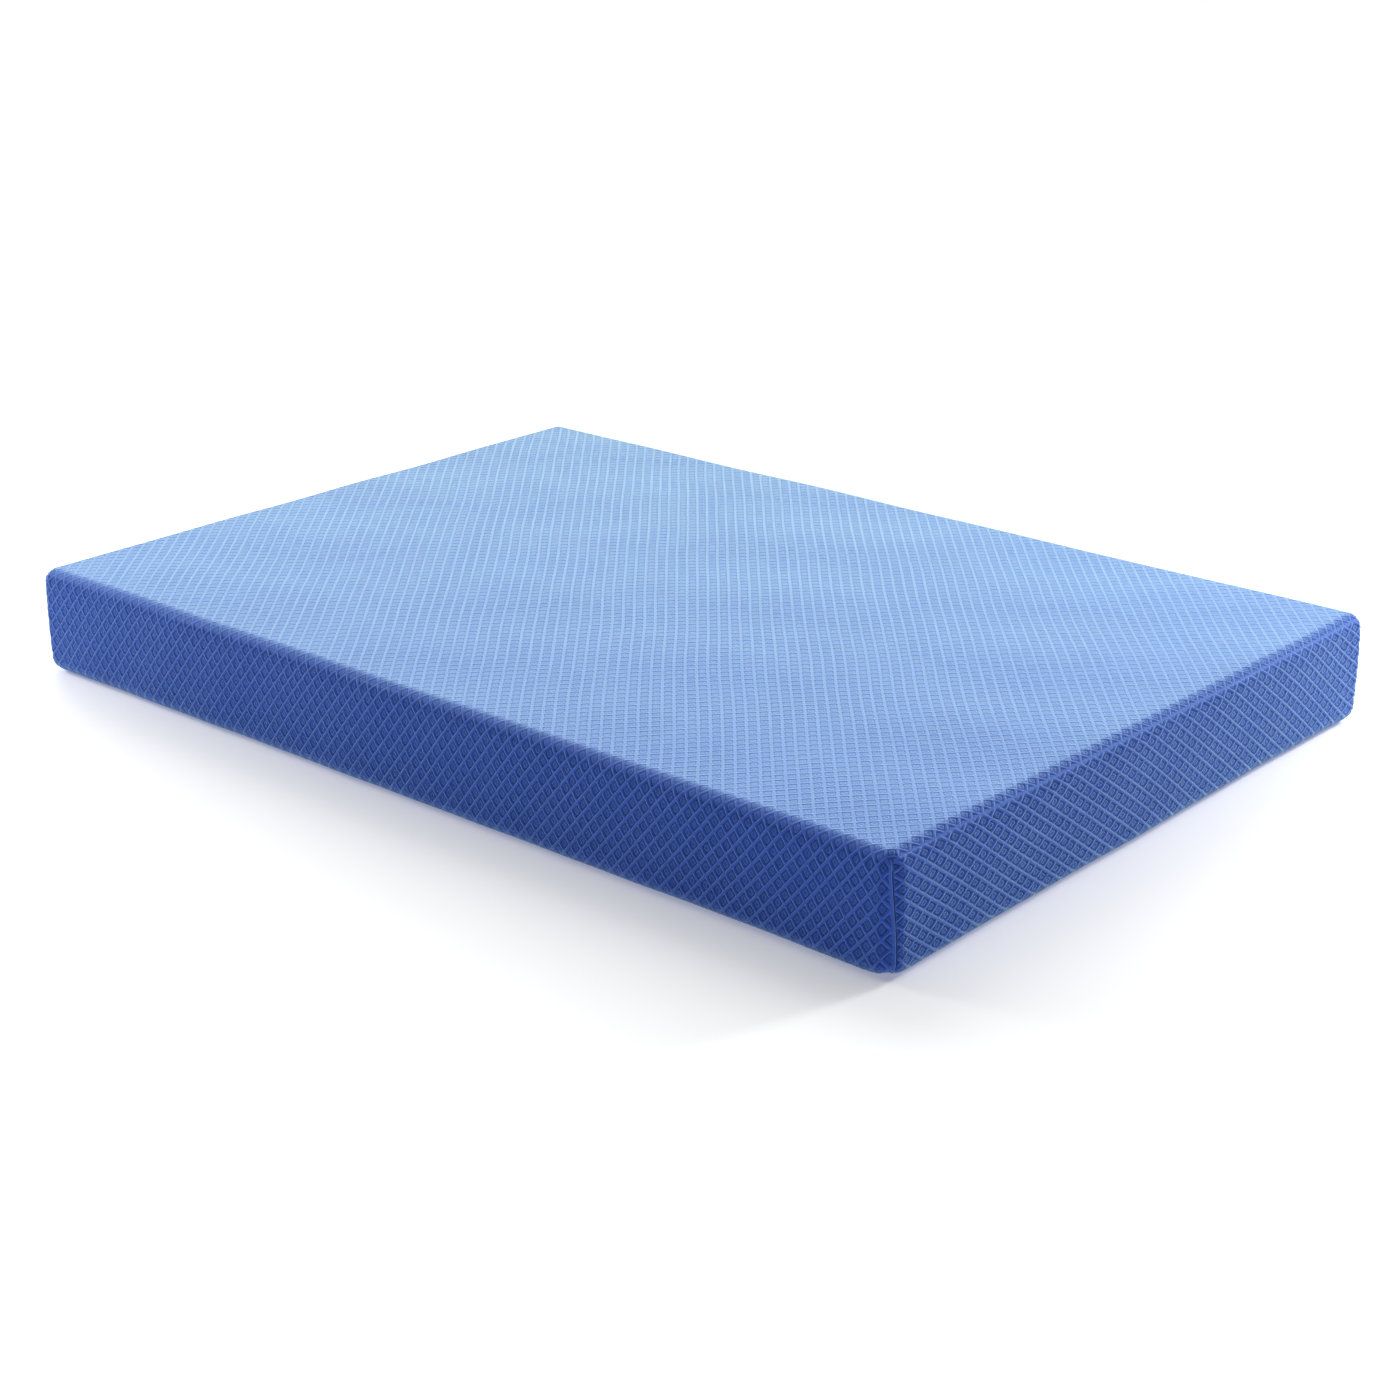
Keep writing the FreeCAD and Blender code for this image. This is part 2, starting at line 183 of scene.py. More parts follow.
def down_side(drop, roll):
    """Height on the box, and how far the cloth is turned in under it, after a length of cloth."""
    turn = EDGE * QUARTER
    upright = turn + HEIGHT - EDGE - roll
    angle = np.clip(QUARTER - drop / EDGE, 0.0, None)
    height = HEIGHT - EDGE - np.maximum(drop - turn, 0.0) + EDGE * np.tan(angle)
    share = np.clip((drop - upright) / (DROP_LENGTH - upright), 0.0, 1.0)
    along = share * (roll * math.pi / 2 + HEM_INSET - roll)
    bend = np.minimum(along / roll, math.pi / 2)
    inset = roll * (1 - np.cos(bend)) + np.maximum(along - roll * math.pi / 2, 0.0)
    height = np.where(drop > upright, roll * (1 - np.sin(bend)), height)
    return height, inset


def roll_at(from_corner):
    return ROLL_MID + (ROLL_CORNER - ROLL_MID) * bell(from_corner, ROLL_REACH)


def corner_lift(from_corner, height):
    low = 1 - smooth(height / LIFT_HEIGHT)
    return CORNER_LIFT * bell(from_corner, LIFT_REACH) * low


def round_box(x, y, z, inset):
    """Round off the edges of a point on the sharp box, then turn it in under the mattress."""
    point = stacked(x, y, z).astype(float)
    limit = np.array((HALF_X - EDGE, HALF_Y - EDGE, HEIGHT - EDGE))
    core = np.clip(point, (-limit[0], -limit[1], -1.0), limit)
    out = point - core
    length = np.maximum(np.linalg.norm(out, axis=-1, keepdims=True), 1e-9)
    point = core + EDGE * out / length
    drawn = inset + BULGE * ((point[..., 2] - HEIGHT / 2) / (HEIGHT / 2)) ** 2
    point[..., 0] *= 1 - drawn / HALF_X
    point[..., 1] *= 1 - drawn / HALF_Y
    return round_corners(point)


def round_corners(point):
    """Bend the ends of the sides in, so that the corners are round when seen from above."""
    sign = np.sign(point[..., :2])
    half = np.array((HALF_X, HALF_Y))
    into = CORNER_RADIUS - (half - np.abs(point[..., :2]))
    share = np.clip(into / CORNER_RADIUS, 0.0, 1.0)
    bent = into * np.sqrt(1 - share[..., ::-1] ** 2 / 2)
    near = (into > 0).all(-1, keepdims=True)
    flat = np.where(near, sign * (half - CORNER_RADIUS + bent), point[..., :2])
    return np.concatenate((flat, point[..., 2:]), -1)


def seam_drift(drop):
    """How far a corner seam has wandered round its corner after a drop down the side."""
    return SEAM_DRIFT * smooth(drop / DRIFT_DROP)


def drifted(cloth, reach, drift):
    """Move a place along a side by the drift of the seam next to it, dying away from the seam."""
    near = np.clip(1 - (reach - np.abs(cloth)) / DRIFT_REACH, 0.0, 1.0) ** 2
    return cloth + np.sign(cloth) * drift * near


# --- the quilt ----------------------------------------------


def quilt(across, along):
    """Height of the quilt, from 0 to 1, where 1 step of across or along is one cell."""
    first = across + along
    second = across - along
    to_band = [0.5 - np.abs(p - np.floor(p) - 0.5) for p in (first, second)]
    nearest = np.minimum(to_band[0], to_band[1])
    band = np.exp(-((nearest / BAND_WIDTH) ** BAND_FLATNESS))
    # where one band passes under the other it dips, and that makes them look roped
    under = band * bell(to_band[0], UNDER_WIDTH)
    band = band - UNDER_DIP * under * (to_band[1] < to_band[0])
    ring = RING_HEIGHT * bell(nearest - RING_FROM_BAND, RING_WIDTH)
    middle = MIDDLE_HEIGHT * bell(0.5 - nearest, MIDDLE_WIDTH)
    return np.maximum(np.maximum(band, ring), middle)


def whole_steps(length, step):
    """A whole number of equal steps, as near to the wanted one as fits."""
    return max(1, round(length / step))


# --- patches ------------------------------------------------


def raised(place, amount):
    """Move a grid of points along its normals, which point where across x along points."""
    normal = np.cross(np.gradient(place, axis=0), np.gradient(place, axis=1))
    normal /= np.maximum(np.linalg.norm(normal, axis=-1, keepdims=True), 1e-12)
    return place + normal * amount[..., None]


def flatter_below(drop):
    """The share of the relief that is left where the cloth is pulled round the lower edge."""
    return 1 - LOW_LOSS * smooth((drop - LOW_DROP) / LOW_FADE)


def seam_lines(reach, step):
    """Places along a side, with finer ones in the groove at each corner seam."""
    count = whole_steps(2 * reach, step)
    even = np.linspace(-reach, reach, count + 1)
    fine = np.array((0.0005, 0.0010, 0.0016, 0.0022, 0.0029, 0.0037, 0.0046))
    inner = even[np.abs(even) < reach - fine[-1] - step * 0.3]
    return np.concatenate(([-reach], -reach + fine, inner, reach - fine[::-1], [reach]))


def side_share(drop):
    """How far the cloth belongs to a side, from 0 at the top's edge to 1."""
    return smooth((drop + 0.001) / SIDE_FADE)


def side_swell(drop, side_part, from_seam, u, v):
    """The sides' unevenness, which dies away at the seams and round the roll underneath."""
    fade = smooth((0.21 - drop) / 0.05) * side_part * smooth(from_seam / 0.08)
    return SIDE_UNEVEN * fade * (wave(SIDE_SWELL, u, v) - 1)


def seam_ease(from_seam, side_part, ease):
    """The share of the relief that is left beside a corner seam."""
    start, fade = ease
    return 1 - side_part * (1 - smooth((from_seam - start) / fade))


def seam_relief(from_seam, side_part, allowance):
    """The groove at a corner seam, and on one side of it the ridge of the seam allowance."""
    groove = -GROOVE_DEPTH * bell(from_seam, GROOVE_WIDTH)
    ridge = ALLOWANCE_HEIGHT * bell(from_seam - ALLOWANCE_FROM_SEAM, ALLOWANCE_WIDTH)
    return side_part * (groove + allowance * ridge)


def make_saddle():
    """The cloth over the top and down both long sides, as a grid of points with its relief."""
    reach_x, reach_y = reach_of(HALF_X), reach_of(HALF_Y)
    top_count = whole_steps(2 * reach_x, CELL_TOP[0] / STEPS)
    top_step = 2 * reach_x / top_count
    drop_count = whole_steps(DROP_LENGTH, CELL_LONG_DROP / STEPS)
    drop_step = DROP_LENGTH / drop_count
    columns = np.arange(-drop_count, top_count + drop_count + 1)
    drop = np.maximum(np.maximum(-columns, columns - top_count), 0) * drop_step
    on_top = np.clip(columns, 0, top_count) * top_step - reach_x
    rows = seam_lines(reach_y, CELL_TOP[1] / STEPS)

    # the two seams at x < 0 wander towards the ends, and those at x > 0 away from them
    turn = np.where(columns < top_count / 2, 1.0, -1.0)
    drift = (seam_drift(drop) * turn)[:, None]
    moved = drifted(rows[None, :], reach_y, drift)
    beyond = np.clip(np.abs(moved) - reach_y, 0.0, None)
    y = over_edge(np.clip(moved, -reach_y, reach_y), HALF_Y)
    x = over_edge(on_top, HALF_X)[:, None] * np.ones_like(y)
    # past the corner's middle the cloth runs on along the end
    x = x - np.sign(x) * corner_run(beyond)
    from_corner = np.minimum(HALF_Y - np.abs(y), 1.0) + corner_run(beyond)
    height, inset = down_side(drop[:, None], roll_at(from_corner))
    is_side = drop[:, None] > 0
    z = np.where(is_side, height, HEIGHT)
    inset = np.where(is_side, inset, 0.0)
    z = z + corner_lift(from_corner, z)
    place = round_box(x, y, z, inset)

    cell_x = (columns - top_count / 2)[:, None] / STEPS
    cell_y = rows[None, :] / CELL_TOP[1]
    side_part = side_share(drop)[:, None] * (drop > 0)[:, None]
    lean = SHEAR * np.clip(drop, 0, 0.2)[:, None] / CELL_TOP[1] * np.sign(on_top)[:, None]
    u = on_top[:, None] + np.sign(on_top)[:, None] * drop[:, None]
    v = rows[None, :]
    across = cell_x + WANDER * wave(WANDER_ACROSS, u, v)
    along = cell_y + lean + WANDER * wave(WANDER_ALONG, u, v)
    relief = quilt(across, along)
    from_seam = reach_y - np.abs(rows)[None, :]
    relief = 1 - (1 - relief) * seam_ease(from_seam, side_part, LONG_EASE)
    joint = (1 - side_part) * (1 - smooth(from_seam / JOINT_WIDTH))
    relief = relief + (JOINT_LEVEL - relief) * joint
    swell = (1 - side_part) * TOP_UNEVEN * (wave(TOP_SWELL, u, v) - 1)
    swell = swell + side_swell(drop[:, None], side_part, from_seam, u, v)
    depth = RELIEF_TOP + (RELIEF_SIDE - RELIEF_TOP) * smooth(drop / RELIEF_FADE)[:, None]
    # the top's relief grows towards its ends, to half of the way to the sides' there
    at_end = (1 - side_part) * (1 - smooth(from_seam / 0.03))
    depth = depth + (RELIEF_SIDE - RELIEF_TOP) * 0.5 * at_end
    depth = depth * flatter_below(drop)[:, None]
    amount = -depth * (1 - relief) + seam_relief(from_seam, side_part, 1.0) + swell
    return raised(place, amount), relief, drop_count, top_count, drop


def corner_run(beyond):
    """Distance along the next side, on the sharp box, for cloth that has passed the corner."""
    turned = np.clip(beyond, 0.0, EDGE * QUARTER)
    return EDGE * (1 - np.tan(QUARTER - turned / EDGE)) + np.clip(beyond - EDGE * QUARTER, 0, None)


def make_end(sign):
    """The flap at the foot (sign -1) or the head (sign 1)."""
    reach_x = reach_of(HALF_X)
    columns = seam_lines(reach_x, CELL_END[0] / STEPS)
    drop_count = whole_steps(DROP_LENGTH, CELL_END[1] / STEPS)
    drop = np.linspace(0.0, DROP_LENGTH, drop_count + 1)[1:]
    if sign > 0:
        # finer mesh lines at the lips of the zip's slot and along its topstitching
        ends = np.array((-0.0012, -0.0004, 0.0004, 0.0012))
        columns = with_lines(columns, np.concatenate((ends - ZIP_HALF, ends + ZIP_HALF)))
        middle = EDGE * QUARTER + HEIGHT - EDGE - ZIP_HEIGHT
        fine = np.array((-0.0006, 0.0, 0.0006))
        near = np.concatenate((fine + SLOT_HALF, fine + TOPSTITCH))
        drop = with_lines(drop, np.concatenate((middle - near, middle + near)))

    turn = np.where(columns < 0, -1.0, 1.0)[:, None]
    moved = drifted(columns[:, None], reach_x, turn * seam_drift(drop)[None, :])
    beyond = np.clip(np.abs(moved) - reach_x, 0.0, None)
    x = over_edge(np.clip(moved, -reach_x, reach_x), HALF_X)
    y = sign * (HALF_Y - corner_run(beyond))
    from_corner = HALF_X - np.abs(x) + corner_run(beyond)
    height, inset = down_side(drop[None, :], roll_at(from_corner))
    height = height + corner_lift(from_corner, height)
    place = round_box(x, y, height, inset)

    lean = SHEAR * drop[None, :] / CELL_END[0]
    u, v = columns[:, None], drop[None, :] + 3 * sign
    across = columns[:, None] / CELL_END[0] + lean + WANDER * wave(WANDER_ACROSS, u, v)
    along = -drop[None, :] / CELL_END[1] + WANDER * wave(WANDER_ALONG, u, v)
    relief = quilt(across, along)
    from_seam = reach_x - np.abs(columns)[:, None]
    side_part = side_share(drop)[None, :]
    ease = seam_ease(from_seam, side_part, END_EASE)
    swell = side_swell(drop[None, :], side_part, from_seam, u, v)
    slot = 0.0
    flatness = 0.0
    if sign > 0:
        above = np.abs(place[..., 2] - ZIP_HEIGHT)
        aside = np.abs(place[..., 0]) - ZIP_HALF
        inside = (above < SLOT_HALF) & (aside < 0.0005)
        slot = -SLOT_DEPTH * inside
        beside = np.maximum(above - SLOT_HALF, aside)
        ease = ease * smooth((beside - 0.0025) / 0.004)
        swell = swell * smooth(beside / 0.03)
        # the tapes hold the quilt flat where they are sewn to it
        off_tape = np.maximum(above - TAPE_EDGE, aside) - 0.002
        flatness = TAPE_FLATNESS * (1 - smooth(off_tape / TAPE_FADE))
        stitched = bell(above - TOPSTITCH, 0.0008) * (aside < 0.003)
        slot = slot - STITCH_DEPTH * stitched
    relief = 1 - (1 - relief) * ease
    joint = (1 - smooth(drop / JOINT_WIDTH))[None, :]
    relief = relief + (JOINT_LEVEL - relief) * joint
    growth = 0.5 + 0.5 * smooth(drop / RELIEF_FADE)
    depth = RELIEF_TOP + (RELIEF_SIDE - RELIEF_TOP) * growth[None, :]
    depth = depth * flatter_below(drop)[None, :] * (1 - flatness)
    amount = -depth * (1 - relief) + seam_relief(from_seam, side_part, 0.0) + swell + slot
    # this grid's normal points along Y: out of the mattress at the head, into it at the foot
    return raised(place, amount * sign), relief, drop


def with_lines(lines, extra):
    """Add lines to a spaced row of them, and drop old ones that are too close to a new one."""
    close = np.abs(lines[:, None] - extra[None, :]).min(1) < 0.0005
    close[0] = close[-1] = False
    return np.sort(np.concatenate((lines[~close], extra)))


# --- mesh building ------------------------------------------


def grid_faces(start, rows, columns, flip):
    index = start + np.arange(rows * columns).reshape(rows, columns)
    a, b = index[:-1, :-1].ravel(), index[1:, :-1].ravel()
    c, d = index[1:, 1:].ravel(), index[:-1, 1:].ravel()
    quads = np.stack((a, b, c, d), 1)
    return quads[:, ::-1] if flip else quads


def zip_up(left, right, left_at, right_at, flip):
    """Triangles between two lines of vertices that run side by side with different spacing."""
    faces = []
    i = j = 0
    while i < len(left) - 1 or j < len(right) - 1:
        take_left = j == len(right) - 1 or (
            i < len(left) - 1 and left_at[i + 1] - right_at[j] < right_at[j + 1] - left_at[i]
        )
        if take_left:
            face = (left[i], right[j], left[i + 1])
            i += 1
        else:
            face = (left[i], right[j], right[j + 1])
            j += 1
        faces.append(face[::-1] if flip else face)
    return np.array(faces)


def two_sided(columns, lines, flip):
    """Faces of a cloth of two grids, one after the other, joined round their rim."""
    count = columns * lines
    index = np.arange(count).reshape(columns, lines)
    rim = np.concatenate((index[:, 0], index[-1, 1:], index[-2::-1, -1], index[0, -2:0:-1]))
    after = np.roll(rim, -1)
    wall = np.stack((rim, after, after + count, rim + count), 1)
    return np.concatenate((
        grid_faces(0, columns, lines, not flip),
        grid_faces(count, columns, lines, flip),
        wall[:, ::-1] if flip else wall,
    ))


def add_object(name, data):
    obj = bpy.data.objects.new(name, data)
    bpy.context.collection.objects.link(obj)
    return obj


def mesh_object(name, points, quads, triangles=(), relief=None):
    """A mesh from whole arrays of vertices, four-cornered faces and triangles."""
    quads = np.asarray(quads, int).reshape(-1, 4)
    triangles = np.asarray(triangles, int).reshape(-1, 3)
    mesh = bpy.data.meshes.new(name)
    mesh.vertices.add(len(points))
    mesh.vertices.foreach_set("co", np.ascontiguousarray(points, np.float32).ravel())
    corners = np.concatenate([quads.ravel(), triangles.ravel()]).astype(np.int32)
    starts = np.concatenate([
        np.arange(len(quads)) * 4,
        len(quads) * 4 + np.arange(len(triangles)) * 3,
    ]).astype(np.int32)
    mesh.loops.add(len(corners))
    mesh.loops.foreach_set("vertex_index", corners)
    mesh.polygons.add(len(starts))
    mesh.polygons.foreach_set("loop_start", starts)
    mesh.update(calc_edges=True)
    if relief is not None:
        layer = mesh.attributes.new("relief", "FLOAT", "POINT")
        layer.data.foreach_set("value", np.ascontiguousarray(relief, np.float32))
    mesh.shade_smooth()
    return add_object(name, mesh)


def sweep(name, path, side, up, profile, closed=False):
    """A profile of (side, up) points carried along a path, closed in a ring or capped."""
    path, side, up, profile = (np.asarray(a, float) for a in (path, side, up, profile))
    side = np.broadcast_to(side, path.shape)
    up = np.broadcast_to(up, path.shape)
    points = (
        path[:, None]
        + profile[None, :, 0:1] * side[:, None]
        + profile[None, :, 1:2] * up[:, None]
    )
    count, around = points.shape[:2]
    index = np.arange(count * around).reshape(count, around)
    if closed:
        index = np.concatenate((index, index[:1]))
    ring = np.concatenate((index, index[:, :1]), 1)
    quads = np.stack((ring[:-1, :-1], ring[:-1, 1:], ring[1:, 1:], ring[1:, :-1]), -1)
    triangles = []
    if not closed:
        for i in range(1, around - 1):
            triangles.append((index[0, 0], index[0, i + 1], index[0, i]))
            triangles.append((index[-1, 0], index[-1, i], index[-1, i + 1]))
    return mesh_object(name, points.reshape(-1, 3), quads.reshape(-1, 4), triangles)


def oval(half_side, half_up, count, flatness=1.0):
    """A closed profile, an oval or with more flatness a rounded rectangle."""
    turn = np.linspace(0, 2 * math.pi, count, endpoint=False)
    c, s = np.cos(turn), np.sin(turn)
    return np.stack((
        half_side * np.sign(c) * np.abs(c) ** flatness,
        half_up * np.sign(s) * np.abs(s) ** flatness,
    ), 1)


def stitches(name, centres, along, out, length, width, height):
    """A row of small stitches, each a pebble of thread pressed into the cloth."""
    centres = np.asarray(centres, float)
    along = np.broadcast_to(np.asarray(along, float), centres.shape)
    out = np.broadcast_to(np.asarray(out, float), centres.shape)
    side = np.cross(along, out)
    sides, rings = 6, 5
    turn = np.linspace(0, 2 * math.pi, sides, endpoint=False)
    place = np.linspace(-1, 1, rings)
    full = np.sqrt(np.clip(1 - (place * 0.93) ** 2, 0, 1))
    local = stacked(
        place[:, None] * length / 2,
        full[:, None] * np.cos(turn) * width / 2,
        full[:, None] * np.sin(turn) * height / 2,
    ).reshape(-1, 3)
    points = (
        centres[:, None]
        + local[None, :, 0:1] * along[:, None]
        + local[None, :, 1:2] * side[:, None]
        + local[None, :, 2:3] * out[:, None]
    )
    one = np.arange(rings * sides).reshape(rings, sides)
    ring = np.concatenate((one, one[:, :1]), 1)
    quads = np.stack((ring[:-1, :-1], ring[1:, :-1], ring[1:, 1:], ring[:-1, 1:]), -1)
    ends = []
    for i in range(1, sides - 1):
        ends.append((one[0, 0], one[0, i], one[0, i + 1]))
        ends.append((one[-1, 0], one[-1, i + 1], one[-1, i]))
    shift = (np.arange(len(centres)) * rings * sides)[:, None, None]
    return mesh_object(
        name,
        points.reshape(-1, 3),
        (quads.reshape(1, -1, 4) + shift).reshape(-1, 4),
        (np.array(ends)[None] + shift).reshape(-1, 3),
    )


# --- cover --------------------------------------------------


def make_cover():
    """The cover's mesh, and the four lines of points along its corner seams."""
    saddle, saddle_relief, side_count, top_count, drop = make_saddle()
    columns, rows = saddle.shape[:2]
    points = [saddle.reshape(-1, 3)]
    relief = [saddle_relief.ravel()]
    quads = [grid_faces(0, columns, rows, False)]
    triangles = []
    start = columns * rows
    saddle_index = np.arange(start).reshape(columns, rows)
    seams = {}
    for sign, end_name in ((-1, "foot"), (1, "head")):
        flap, flap_relief, flap_drop = make_end(sign)
        across, down = flap.shape[:2]
        index = start + np.arange(across * down).reshape(across, down)
        points.append(flap.reshape(-1, 3))
        relief.append(flap_relief.ravel())
        quads.append(grid_faces(start, across, down, sign < 0))
        last = 0 if sign < 0 else -1
        top_line = slice(side_count, side_count + top_count + 1)
        triangles.append(zip_up(
            saddle_index[top_line, last], index[:, 0],
            saddle[top_line, last, 0], flap[:, 0, 0], sign > 0,
        ))
        for side, side_line, edge in (
            (-1, slice(side_count, None, -1), 0),
            (1, slice(side_count + top_count, None), -1),
        ):
            flip = (side < 0) == (sign > 0)
            triangles.append(zip_up(
                saddle_index[side_line, last], index[edge], drop[side_line], flap_drop, not flip,
            ))
            seams[end_name, "left" if side < 0 else "right"] = saddle[side_line, last]
        start += across * down
    cover = mesh_object(
        "cover_quilted_knit",
        np.concatenate(points),
        np.concatenate(quads),
        np.concatenate(triangles),
        np.concatenate(relief),
    )
    return cover, seams


def running_mean(values, reach=4):
    around = 2 * reach + 1
    return np.convolve(np.pad(values, reach, "edge"), np.ones(around) / around, "valid")


def make_corner_thread(name, line):
    """The overlocked thread that shows at the bottom of a corner seam's groove."""
    at = np.concatenate(([0.0], np.cumsum(np.linalg.norm(np.diff(line, axis=0), axis=1))))
    first, left_over, step = 0.014, 0.012, 0.0007
    place = np.arange(first, at[-1] - left_over, step)
    path = np.stack([np.interp(place, at, line[:, i]) for i in range(3)], 1)
    path = np.apply_along_axis(running_mean, 0, path)
    along = unit(np.gradient(path, axis=0))
    # out of the mattress is away from a smaller box inside it
    within = 0.04
    low = (within - HALF_X, within - HALF_Y, within)
    high = (HALF_X - within, HALF_Y - within, HEIGHT - within)
    out = path - np.clip(path, low, high)
    out = unit(out - (out * along).sum(1, keepdims=True) * along)
    side = np.cross(along, out)
    loop_length = 0.0032
    swing = np.sin(place / loop_length * 2 * math.pi)[:, None]
    path = path + out * (0.0003 + 0.00025 * np.abs(swing)) + side * 0.00035 * swing
    return sweep(name, path, side, out, oval(0.00060, 0.00050, 8))


# --- other pieces -------------------------------------------


def ring_path(half_x, half_y, radius, z, step):
    """Points round a rounded rectangle, with the direction out of it at each."""
    points, outs = [], []
    for k, (sx, sy) in enumerate(((1, 1), (-1, 1), (-1, -1), (1, -1))):
        centre = np.array((sx * (half_x - radius), sy * (half_y - radius)))
        for angle in np.linspace(0, math.pi / 2, 10) + k * math.pi / 2:
            out = np.array((math.cos(angle), math.sin(angle)))
            points.append(centre + radius * out)
            outs.append(out)
    points, outs = np.array(points), np.array(outs)
    closed = np.concatenate((points, points[:1]))
    at = np.concatenate(([0.0], np.cumsum(np.linalg.norm(np.diff(closed, axis=0), axis=1))))
    place = np.linspace(0, at[-1], whole_steps(at[-1], step), endpoint=False)
    turned = np.concatenate((outs, outs[:1]))
    path = np.stack([np.interp(place, at, closed[:, i]) for i in range(2)], 1)
    out = unit(np.stack([np.interp(place, at, turned[:, i]) for i in range(2)], 1))
    flat = np.zeros((len(place), 1))
    return np.concatenate((path, flat + z), 1), np.concatenate((out, flat), 1)


def make_underside():
    """The plain panel, the tape that binds it into the cover, and the tape's stitches."""
    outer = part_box("bottom_seam_binding")[1]
    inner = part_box("cover_bottom_panel")[1]
    width = outer.x - inner.x
    half_x, half_y, radius = outer.x - width / 2, outer.y - width / 2, 0.030
    path, out = ring_path(half_x, half_y, radius, 0.0011, 0.004)
    pucker = 0.0002 * np.sin(np.arange(len(path)) * 1.7)
    path[:, 2] += pucker
    tape = sweep("binding_tape", path, out, (0, 0, 1), oval(width / 2, 0.0009, 12, 0.5), True)

    rows = []
    for shift in (-width * 0.3, width * 0.3):
        rows.append(ring_path(half_x + shift, half_y + shift, radius + shift, 0.0003, 0.0036)[0])
    centres = np.concatenate(rows)
    along = unit(np.concatenate([np.roll(r, -1, 0) - r for r in rows]))
    thread = stitches("binding_stitches", centres, along, (0, 0, -1), 0.0028, 0.0007, 0.0005)

    columns, lines = 64, 92
    u = np.linspace(-1, 1, columns)[:, None] * (inner.x + CLOTH_LAP)
    v = np.linspace(-1, 1, lines)[None, :] * (inner.y + CLOTH_LAP)
    sag = 0.0016 + 0.0005 * wave(TOP_SWELL, u, v)
    under = stacked(u, v, sag).reshape(-1, 3)
    over = under + (0, 0, 0.0006)
    panel = mesh_object(
        "underside_panel_cloth", np.concatenate((under, over)), two_sided(columns, lines, False)
    )
    return tape, thread, panel


def make_zip_tape(name, node, coil_side):
    """A woven tape with a thick corded edge next to its coil."""
    low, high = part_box(node)
    x = np.arange(low.x, high.x + 1e-6, 0.005)
    path = stacked(x, (low.y + high.y) / 2, (low.z + high.z) / 2)
    half_width, half_depth = (high.z - low.z) / 2, (high.y - low.y) / 2
    profile = oval(half_width, half_depth * 0.8, 18, 0.35)
    # the cord makes the tape a quarter thicker in its last part, next to the coil
    near_coil = profile[:, 0] * coil_side > half_width * 0.75
    profile[near_coil, 1] *= 1.25
    return sweep(name, path, (0, 0, 1), (0, 1, 0), profile)


def make_coil(name, node, phase):
    """A spiral of thick nylon thread, one turn for each tooth."""
    low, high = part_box(node)
    wire, pitch, around = 0.00030, 0.0021, 10
    turns = int((high.x - low.x) / pitch)
    turn = np.linspace(0, turns * 2 * math.pi, turns * around + 1) + phase
    centre = np.array(((low.y + high.y) / 2, (low.z + high.z) / 2))
    half = np.array(((high.y - low.y) / 2, (high.z - low.z) / 2)) - wire
    radial = np.stack((np.zeros_like(turn), np.cos(turn), np.sin(turn)), 1)
    x = low.x + (high.x - low.x - turns * pitch) / 2 + (turn - phase) * pitch / (2 * math.pi)
    path = np.stack((x, centre[0] + half[0] * radial[:, 1], centre[1] + half[1] * radial[:, 2]), 1)
    along = unit(np.gradient(path, axis=0))
    side = unit(radial - (radial * along).sum(1, keepdims=True) * along)
    return sweep(name, path, side, np.cross(side, along), oval(wire, wire, 6))


def rounded_copy(node, name, width, segments=3):
    """A casting's rounded form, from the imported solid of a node."""
    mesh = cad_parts[node].data.copy()
    mesh.name = name
    mesh.materials.clear()
    solid = bmesh.new()
    solid.from_mesh(mesh)
    bmesh.ops.remove_doubles(solid, verts=solid.verts, dist=1e-6)
    bmesh.ops.dissolve_limit(
        solid, angle_limit=math.radians(2), verts=solid.verts, edges=solid.edges
    )
    sharp = [e for e in solid.edges if e.is_manifold and e.calc_face_angle(0.0) > math.radians(25)]
    bmesh.ops.bevel(
        solid, geom=sharp, offset=width, segments=segments, profile=0.5, affect="EDGES",
        clamp_overlap=True,
    )
    solid.to_mesh(mesh)
    solid.free()
    mesh.shade_smooth()
    return add_object(name, mesh)


def make_label(name, node, curl, phase):
    """A woven label, sewn along its upper edge, whose free end bows away from the cover."""
    low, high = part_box(node)
    columns, lines = 33, 29
    u = np.linspace(0, 1, columns)[:, None]
    v = np.linspace(0, 1, lines)[None, :]
    bow = curl * v ** 2 * (0.65 + 0.35 * np.cos((u - 0.4) * 5 + phase))
    bow = bow + 0.00025 * v * np.sin(u * 11 + phase)
    x = low.x + (high.x - low.x) * u
    z = high.z - (high.z - low.z) * v
    front = stacked(x, high.y + bow, z).reshape(-1, 3)
    back = front - (0, 0.00030, 0)
    label = mesh_object(name, np.concatenate((front, back)), two_sided(columns, lines, True))
    edge = np.arange(low.x + 0.003, high.x - 0.002, 0.0030)
    centres = stacked(edge, high.y + 0.0001, high.z - 0.004)
    thread = stitches(name + "_stitches", centres, (1, 0, 0), (0, 1, 0), 0.0022, 0.0006, 0.0005)
    return label, thread


